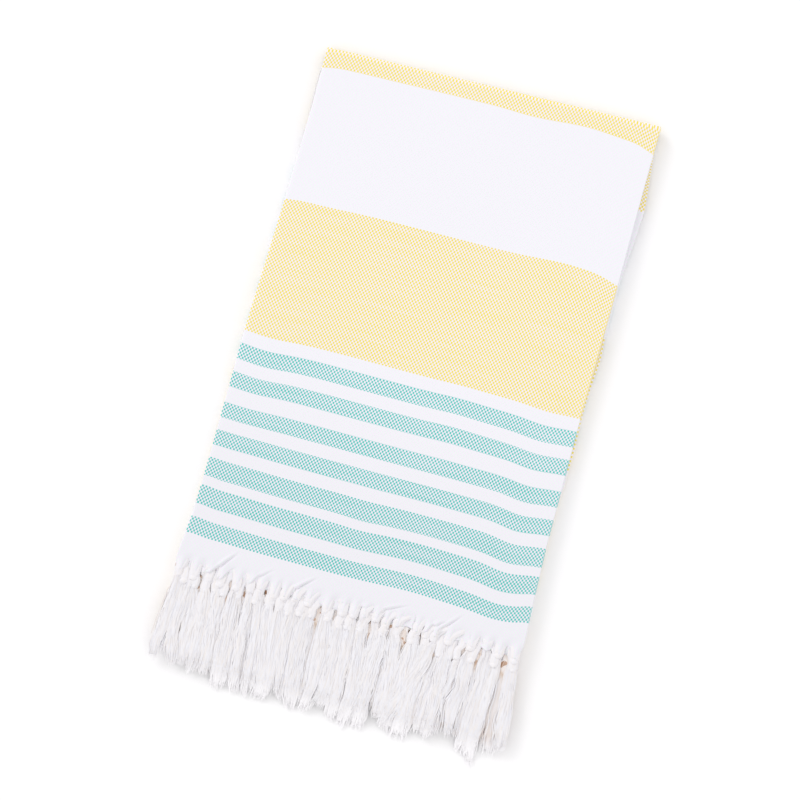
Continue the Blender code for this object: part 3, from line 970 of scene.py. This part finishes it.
def finishFringe(name, bm, material, hollow=0.0):
    bmesh.ops.remove_doubles(bm, verts=bm.verts, dist=1e-6)
    # depth: how low a place lies, which sets the yarn's painted warm shade; a layer's hollow value adds more
    # near the knots, for its painted hollows
    depth = bm.verts.layers.float.new("depth")
    for vert in bm.verts:
        if vert.co.y < 0:
            lowness = yarn["deepFrom"] + restHeight(vert.co.y) - vert.co.z
            lowness /= yarn["deepFrom"] - yarn["deepTo"]
            undropped = smooth((vert.co.y - fringe["dropStart"]) / yarn["deepFade"] + 1)
            vert[depth] = smooth(lowness) * undropped
            vert[depth] += hollow * smooth((vert.co.y - yarn["hollowEnd"]) / yarn["hollowFade"])
    return newPiece(name, bm, material)


def makeFringe(layer, material, profile):
    dice = Random(layer["seed"])
    bm = bmesh.new()
    threads = []
    for index in range(fringe["tassels"]):
        tassel = planTassel(index, layer, dice)
        places = [tailPlace(tassel, share) for share in evenly(0, 1, fringe["tailSteps"])]
        addBody(bm, headingRings(tassel) + tailRings(tassel, places), fringe["bodySides"], fringe["ridges"])
        addBody(bm, knotRings(tassel), fringe["bodySides"], knot["ridges"])
        clumps = [planClump(number, dice) for number in range(fringe["clumps"])]
        for i in range(layer["threads"]):
            threads.append(threadPoints(tassel, places, clumps[i * len(clumps) // layer["threads"]], dice))
    sweepThreads(bm, threads, profile)
    return finishFringe(layer["name"], bm, material, layer["hollow"])


# the same tassels at the other hem, pressed flat at the bottom of the stack
backFringe = {
    "hemY": 0.215, "lift": 0.00013, "seed": 41, "sides": 14, "ridges": 5, "lean": 0.03,
    "stagger": 1 / 6,  # from one layer to the next, in widths of a tassel
    "threads": 9, "reach": 0.0058, "wander": (0.1, 0.9),  # the loose threads, and how they lie across
    "from": 0.05, "to": 0.0835, "vary": 0.002, "steps": 5, "rise": 0.0002,
    "radius": 0.0004, "tip": 0.0002,
}
flatTassel = named(  # distance from the hem, and half the width and thickness there
    "along half high",
    (0, 6.4, 0.36), (6, 5.4, 0.5), (11, 3.2, 0.54), (13.5, 4.3, 0.58),
    (15.5, 4.6, 0.6), (18, 4.2, 0.58), (20.5, 3, 0.54), (28, 5.2, 0.5),
    (45, 6.2, 0.48), (65, 6.2, 0.43), (79, 5.6, 0.26),
)


def flatPlace(across, along, lean, layer):
    # a place of the back fringe, from where it is across the hem and how far from it
    height = passHeight(backPass) + layer * layerRise
    place = settledPlace(across, backFringe["hemY"] + along, height, backPass)
    return place + Vector((lean * along, 0, backFringe["lift"]))


def makeBackFringe(material, profile):
    dice = Random(backFringe["seed"])
    rise = Vector((0, 0, backFringe["rise"]))
    bm = bmesh.new()
    threads = []
    for layer in (-1, 0, 1):
        for index in range(fringe["tassels"]):
            across = (index + 0.5 + layer * backFringe["stagger"]) * tasselPitch - hemWidth / 2
            lean, twist = dice.gauss(0, backFringe["lean"]), dice.uniform(0, 2 * pi)
            addBody(bm, [{
                "centre": flatPlace(across, shape["along"], lean, layer),
                "across": Vector((-shape["half"], 0, 0)), "up": Vector((0, 0, shape["high"])),
                "ridge": fringe["ridge"], "twist": twist,
            } for shape in flatTassel], backFringe["sides"], backFringe["ridges"])
            for i in range(backFringe["threads"]):
                share = (i + dice.uniform(*backFringe["wander"])) / backFringe["threads"]
                offset = mix(-backFringe["reach"], backFringe["reach"], share)
                end = backFringe["to"] - abs(dice.gauss(0, backFringe["vary"]))
                points = [flatPlace(across + offset * (1 + along), along, lean, layer) + rise
                          for along in evenly(backFringe["from"], end, backFringe["steps"])]
                radii = [backFringe["radius"]] * (len(points) - 1) + [backFringe["tip"]]
                threads.append((points, radii))
    sweepThreads(bm, threads, profile)
    return finishFringe("fringeBack", bm, material)


studio = {
    "aim": (-0.0053, 0.0033, 0.013), "frameWidth": 0.76, "turn": radians(15),
    "lens": 100, "sensor": 36,
    "floorSize": 6.0, "floorColor": "#FAF9FA", "worldStrength": 1.0,
    "keyFrom": (-0.66, 0.50, 0.46), "keyStrength": 0.69, "keySoftness": radians(24),
}


def makeStudio():
    bm = bmesh.new()
    bmesh.ops.create_grid(bm, x_segments=1, y_segments=1, size=studio["floorSize"] / 2)
    # Matt painted board: plain and pale
    board, *_ = newMaterial("mattFloor", {
        "Base Color": linearColor(studio["floorColor"]), "Roughness": 0.9, "Specular IOR Level": 0.1,
    })
    newPiece("studioFloor", bm, board)

    world = bpy.data.worlds.new("studioLight")
    world.use_nodes = True
    background = world.node_tree.nodes["Background"].inputs
    background["Color"].default_value = (1.0, 1.0, 1.0, 1.0)
    background["Strength"].default_value = studio["worldStrength"]
    bpy.context.scene.world = world

    key = bpy.data.lights.new("softKey", "SUN")
    key.energy = studio["keyStrength"]
    key.angle = studio["keySoftness"]
    lamp = newObject("softKey", key)
    lamp.location = studio["keyFrom"]
    lamp.rotation_euler = Vector(studio["keyFrom"]).to_track_quat("Z", "Y").to_euler()

    lens = bpy.data.cameras.new("camera")
    lens.lens = studio["lens"]
    lens.sensor_width = studio["sensor"]
    camera = newObject("camera", lens)
    distance = studio["frameWidth"] * studio["lens"] / studio["sensor"]
    camera.location = Vector(studio["aim"]) + Vector((0, 0, distance))
    camera.rotation_euler = (0, 0, studio["turn"])
    bpy.context.scene.camera = camera
    bpy.context.scene.view_settings.view_transform = "Standard"


cotton = wovenCotton()
thread = cottonYarn()
profile = ringProfile("threadOutline", 3, pi / 6)
makeStudio()
print("studio ready")

clothPiece = makeCloth(cotton)
print("cloth folded:", len(clothPiece.data.polygons), "faces")

fringePieces = []
for layer in fringeLayers:
    piece = makeFringe(layer, thread, profile)
    fringePieces.append(piece)
    print(layer["name"], "knotted:", len(piece.data.polygons), "faces")
backPiece = makeBackFringe(thread, profile)
print("fringeBack knotted:", len(backPiece.data.polygons), "faces")
bpy.data.objects.remove(profile)

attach(clothPiece, "root")
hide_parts("cloth")
for piece in fringePieces:
    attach(piece, "root")
    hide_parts("fringe_front")
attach(backPiece, "root")
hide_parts("fringe_back")
